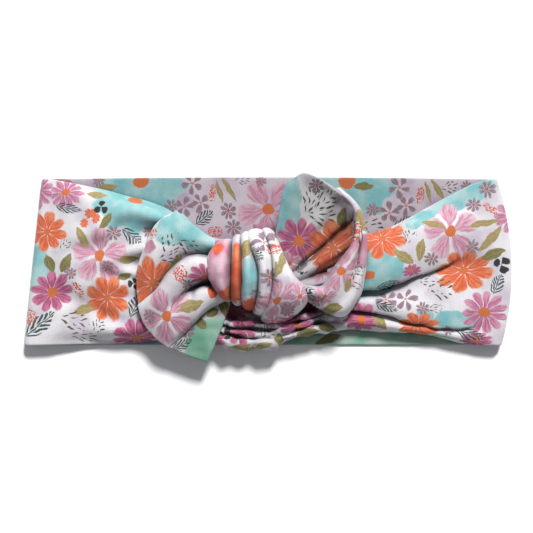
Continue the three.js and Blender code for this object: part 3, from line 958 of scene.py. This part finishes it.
def wrap():
    """Five pleats side by side, each arched over its width and turned in under the knot."""
    for seed, (name, stations) in enumerate(WRAP.items()):
        first, last = np.array(stations[0]), np.array(stations[-1])
        under = [1, 0.66, 1, 0.66, 0.86]  # the ends turn in under the knot
        line = through([first * under, *stations, last * under], steps(76))
        v = np.linspace(0, 1, steps(24))
        u = np.linspace(0, 1, len(line))[:, None]
        lean = mix(0.72, 0.6, u) if seed > 2 else 0.85  # under 1, the crest lies left of the middle
        arch = np.sqrt(np.maximum(0, 1 - np.abs(2 * v**lean - 1) ** 2))
        tilt = (0.5 - u) * math.radians(170)
        wide = np.abs(line[:, 2:3] - line[:, 0:1])
        deep = np.minimum(9, 4.5 + 0.4 * wide) * mix(0.2, 1, smooth(np.cos(tilt)))
        sunk = deep * (1 - arch)
        x = mix(line[:, 0:1], line[:, 2:3], v)
        y = mix(line[:, 1:2], line[:, 3:4], v) - sunk * np.sin(tilt)
        z = line[:, 4:5] - sunk * np.cos(tilt)
        grid = np.stack([x, y, z], 2)
        pinch = 0.7 * np.sin(2 * math.pi * (1.7 * v + 0.6 * u) + seed) * np.minimum(1, wide / 10)
        fine = ripple(grid, 9, 0.25, 50 + seed) + ripple(grid, 5.5, 0.13, 80 + seed)
        grid[:, :, 2] += (pinch * arch + fine) * np.cos(tilt)
        knot_piece(name, grid, "knot", ["knot_wrap"] if seed == 0 else [])


# ---- The tails ----


def tail_piece(name, rows, along, across, material, nodes, seed, high=0.25, creases=()):
    """One leaf of a tail, lofted through its rows."""
    grid = loft(rows, steps(along), steps(across))
    for crease in creases:
        grid[:, :, 2] += along_line(grid, *crease)
    grid = raised(grid, ripple(grid, 14, high, seed) + ripple(grid, 6, 0.14, seed + 1))
    piece = cloth_piece(name, grid, material)
    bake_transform(piece)
    if nodes:
        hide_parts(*nodes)


def left_tail():
    """A broad leaf, its lower edge rolled over, and the end that shows below."""
    back_leaf = [
        [(-26, -3, 14.5), (-26, 2, 14.5), (-26, 5.4, 15.5), (-26, 7.6, 18.6), (-26.4, 10.6, 21),
         (-27, 13.6, 19.4)],
        [(-36, -7, 14.5), (-38.4, 0, 14.8), (-39.4, 5.6, 15.6), (-39.4, 9.4, 18.8), (-38.4, 14.6, 21.4),
         (-36.2, 20, 20)],
        [(-48, -16, 14.5), (-50, -8, 14.8), (-49, -0.6, 16.4), (-49.4, 7.6, 20.4), (-46.8, 17.6, 21.4),
         (-41, 25, 19.6)],
        [(-58, -22, 14.5), (-59.6, -14, 15.8), (-58.6, -3, 18.8), (-56, 10, 20), (-51, 20.4, 19.4),
         (-44.2, 26.6, 17.8)],
        [(-62.8, -22, 13.6), (-64.4, -12, 14.2), (-64, 0, 14.6), (-60, 13, 14.8), (-53, 23.3, 14.8),
         (-45.4, 27.6, 15.4)],
    ]
    tail_piece("left_tail_back_leaf", back_leaf, 44, 50, materials["left_leaf"],
               ["left_tail_blade"], 61)
    roll = [
        [(-22, -15.6, 15.5), (-22.6, -14, 19.5), (-24, -11, 21.5), (-25, -9, 19.5), (-25.6, -6.8, 8.5),
         (-26, -4.4, 20), (-26, -1, 24), (-26, 3, 24.5), (-26, 5, 19)],
        [(-30, -20.6, 15), (-30.4, -18.8, 19.5), (-32.5, -14.5, 21.5), (-34, -11.2, 19.6), (-34.8, -8.8, 9),
         (-35.6, -6.2, 21), (-36.6, -2, 24.8), (-38, 3, 24.4), (-38.8, 5.6, 18)],
        [(-36.8, -26.6, 15), (-37.4, -24.8, 19), (-39.4, -19.5, 21), (-41, -15.4, 20.4), (-42.2, -13, 17.6),
         (-43, -10.8, 21.5), (-44.4, -7, 23.8), (-46.2, -2.4, 23.4), (-47, -0.4, 18)],
        [(-43.6, -33.6, 14.4), (-44.4, -31.8, 18), (-47.2, -27.4, 19.8), (-49.4, -24, 20.3),
         (-50.6, -21.8, 20.2), (-51.8, -19.8, 20.8), (-53.2, -16.8, 21.4), (-54.8, -13.2, 20.8),
         (-55.6, -11.4, 17)],
        [(-49.5, -38.8, 13.8), (-51, -37.6, 14.2), (-54, -35.2, 14.4), (-56.6, -32.8, 14.6),
         (-58.2, -31.2, 14.8), (-59.6, -29.4, 15), (-61.4, -26.6, 15.2), (-63.2, -22.4, 15.4),
         (-64, -18.6, 15.4)],
    ]
    tail_piece("left_tail_roll", roll, 48, 46, materials["left_roll"],
               ["left_tail_rolled_edge"], 65)
    tip = [
        [(-19, -16, 13.4), (-21.5, -15, 14), (-24, -14, 13.4)],
        [(-21, -22.6, 13.2), (-26, -20.6, 14), (-31, -18.6, 13)],
        [(-23.8, -30, 13.2), (-30, -28, 14.2), (-38, -25, 13.2)],
        [(-27.4, -38.6, 13), (-35, -36, 14), (-45, -32.4, 13.4)],
        [(-30.6, -46, 12.4), (-39, -43, 13), (-49.4, -38.6, 13)],
    ]
    tail_piece("left_tail_tip", tip, 40, 20, materials["left_tip"], [], 69)


def right_tail():
    """A bowl open to the left, and the rolled rim along its right and lower side."""
    bowl = [
        [(17, -10, 17.4), (14.4, -5.6, 17.8), (12, -1.4, 16.6), (9.4, 3.4, 18), (6.4, 8, 19), (3, 13, 19)],
        [(25, -8, 17), (23, 0.6, 15.4), (20.4, 8, 15), (15.6, 15, 15.6), (10.4, 20, 18), (5.6, 23.4, 21)],
        [(34, -6, 17), (34, 6, 15.4), (29.6, 16.4, 15), (22.4, 26, 16), (13.6, 31.4, 18.6), (7, 33.6, 21.2)],
        [(39.6, -4, 19), (40.6, 10, 18.4), (38, 23, 18), (29, 33.8, 18.4), (16.6, 40.4, 19.6), (8, 38, 20.6)],
        [(44, 0, 22), (45.4, 13, 24), (43.2, 27, 24), (33, 38.2, 22.4), (18.6, 46.2, 20.4), (10, 42, 19.6)],
    ]
    creases = [((4, -10), (25, 8.6), -3.8, 1.6), ((2, -11), (34, 0), -5.4, 1.8),
               ((8, -2), (18, 13), 2.2, 2.2), ((4, -10), (29, 5), 2.8, 1.7)]
    tail_piece("right_tail_bowl", [row[::-1] for row in bowl], 48, 62, materials["right_bowl"],
               ["right_tail_blade"], 71, 0.4, creases)
    roll = [
        [(33, 38.4, 21), (33.6, 38.8, 22.4), (34.2, 38.9, 22.6), (34.8, 39, 22.4), (35.2, 39, 20.4)],
        [(40.2, 31.6, 21.6), (41, 32, 24.4), (41.8, 32.2, 24.6), (42.6, 32, 24), (43.2, 31.6, 20.4)],
        [(42.6, 24.6, 20.4), (43.4, 25, 25.4), (44.6, 25.2, 25.6), (45.8, 25, 24.6), (46.8, 24.6, 18.8)],
        [(42.4, 14.8, 18.6), (43.2, 15, 26.6), (45.6, 15, 23), (47, 14.8, 25.2), (48.2, 14.4, 17.6)],
        [(38.6, 7.6, 17), (40.4, 7.2, 27), (44, 6, 22.8), (46.4, 5.2, 25), (48.3, 4.8, 16.8)],
        [(33.8, 1.6, 16.6), (36.4, 0.2, 27), (42, -3.4, 22.6), (44.8, -4.8, 24.4), (47.3, -5.8, 16.2)],
        [(29.8, -4.4, 16.6), (32.4, -6.4, 26.6), (39.2, -11.4, 22), (42, -13, 23.6), (44.6, -14.4, 15.6)],
        [(27, -8.6, 16.6), (29, -10.8, 25.6), (34.4, -17.8, 21.6), (36.8, -20.6, 22), (38.4, -22.6, 15)],
        [(22.4, -9.6, 16.4), (23.4, -11.6, 24), (26, -16, 22.6), (29.4, -20.6, 20.4), (30.8, -22.6, 14.8)],
        [(17.6, -8.8, 16.2), (18, -10, 22), (19.4, -12.6, 21.4), (21.8, -16.4, 19.4), (23, -18.4, 15)],
        [(13, -7.8, 16), (13.4, -8.8, 20), (14.4, -10.4, 20), (15.6, -12.4, 18.6), (16.4, -13.4, 16)],
    ]
    tail_piece("right_tail_roll", roll, 78, 22, materials["right_roll"],
               ["right_tail_rolled_edge"], 75, 0.2)


# ---- Table, light and camera ----


def table():
    """A plain white table top under the band."""
    mesh = bpy.data.meshes.new("table")
    reach = 3.0  # metres
    corners = [(-reach, -reach, 0), (reach, -reach, 0), (reach, reach, 0), (-reach, reach, 0)]
    mesh.from_pydata(corners, [], [(0, 1, 2, 3)])
    material = bpy.data.materials.new("white_table")
    material.use_nodes = True
    shader = material.node_tree.nodes["Principled BSDF"]
    shader.inputs["Base Color"].default_value = (0.93, 0.93, 0.93, 1)
    shader.inputs["Roughness"].default_value = 0.9
    shader.inputs["Specular IOR Level"].default_value = 0.1
    mesh.materials.append(material)
    top = bpy.data.objects.new("table", mesh)
    bpy.context.scene.collection.objects.link(top)


FILL = 0.27  # the light from all round, next to 1 for the pale backdrop as it is seen
KEY_STRENGTH = 5.2
KEY_WIDTH = 14  # degrees, for soft shadows
KEY_TILT = (-44, 15, 0)  # degrees: the light comes over the upper edge, and a little from the right


def lights():
    """One soft lamp high over the upper edge, and an even fill."""
    world = bpy.data.worlds.new("studio")
    world.use_nodes = True
    sky = world.node_tree.nodes["Background"]
    sky.inputs["Color"].default_value = (0.93, 0.95, 1.0, 1)
    g = Graph(world)
    seen = g.put("ShaderNodeLightPath", (), 0)
    g.tree.links.new(g.put("ShaderNodeMapRange", (seen, 0, 1, FILL, 1)), sky.inputs["Strength"])
    bpy.context.scene.world = world
    key = bpy.data.lights.new("key", "SUN")
    key.energy = KEY_STRENGTH
    key.angle = math.radians(KEY_WIDTH)
    lamp = bpy.data.objects.new("key", key)
    lamp.rotation_euler = [math.radians(a) for a in KEY_TILT]
    bpy.context.scene.collection.objects.link(lamp)


def camera():
    """Straight above the band, far enough to see it nearly without perspective."""
    lens = bpy.data.cameras.new("camera")
    seen = 266.5 * MM  # width of the view at the band's front
    distance = 0.9
    off_centre = 0.75 * MM  # the band lies this much right of and below the middle of the view
    lens.sensor_width = 36
    lens.lens = lens.sensor_width * distance / seen
    lens.clip_start, lens.clip_end = 0.05, 20
    eye = bpy.data.objects.new("camera", lens)
    eye.location = (-off_centre, off_centre, distance + FRONT_Z * MM)
    bpy.context.scene.collection.objects.link(eye)
    bpy.context.scene.camera = eye
    bpy.context.scene.view_settings.view_transform = "Standard"


# The number scales the print's colour, as painted shade under 1 and painted light over 1: less where the
# cloth lies in shade or shows its other side, more on the knot. The back's darker, more mauve ground colours
# are partly print and partly painted shade.
LOOKS = {
    "back": (BACK_PRINT, 0.75, (srgb("EADCE6"), srgb("CDB6CE"))),
    "front_left": (FRONT_LEFT_PRINT, 1),
    "front_right": (FRONT_RIGHT_PRINT, 1),
    "left_leaf": (LEFT_LEAF_PRINT, 1),
    "left_roll": (LEFT_ROLL_PRINT, 1),
    "left_tip": (LEFT_TIP_PRINT, 0.72),
    "right_bowl": (RIGHT_BOWL_PRINT, 0.68),
    "right_roll": (RIGHT_ROLL_PRINT, 1),
    "knot": (KNOT_PRINT, 1.1),
    "gather": (GATHER_PRINT, 0.8),
}
materials = {name: printed_jersey(f"jersey_{name}", *look) for name, look in LOOKS.items()}

camera()
lights()
table()
back()
front_left()
front_right()
gather()
crossing()
strand()
wrap()
left_tail()
right_tail()
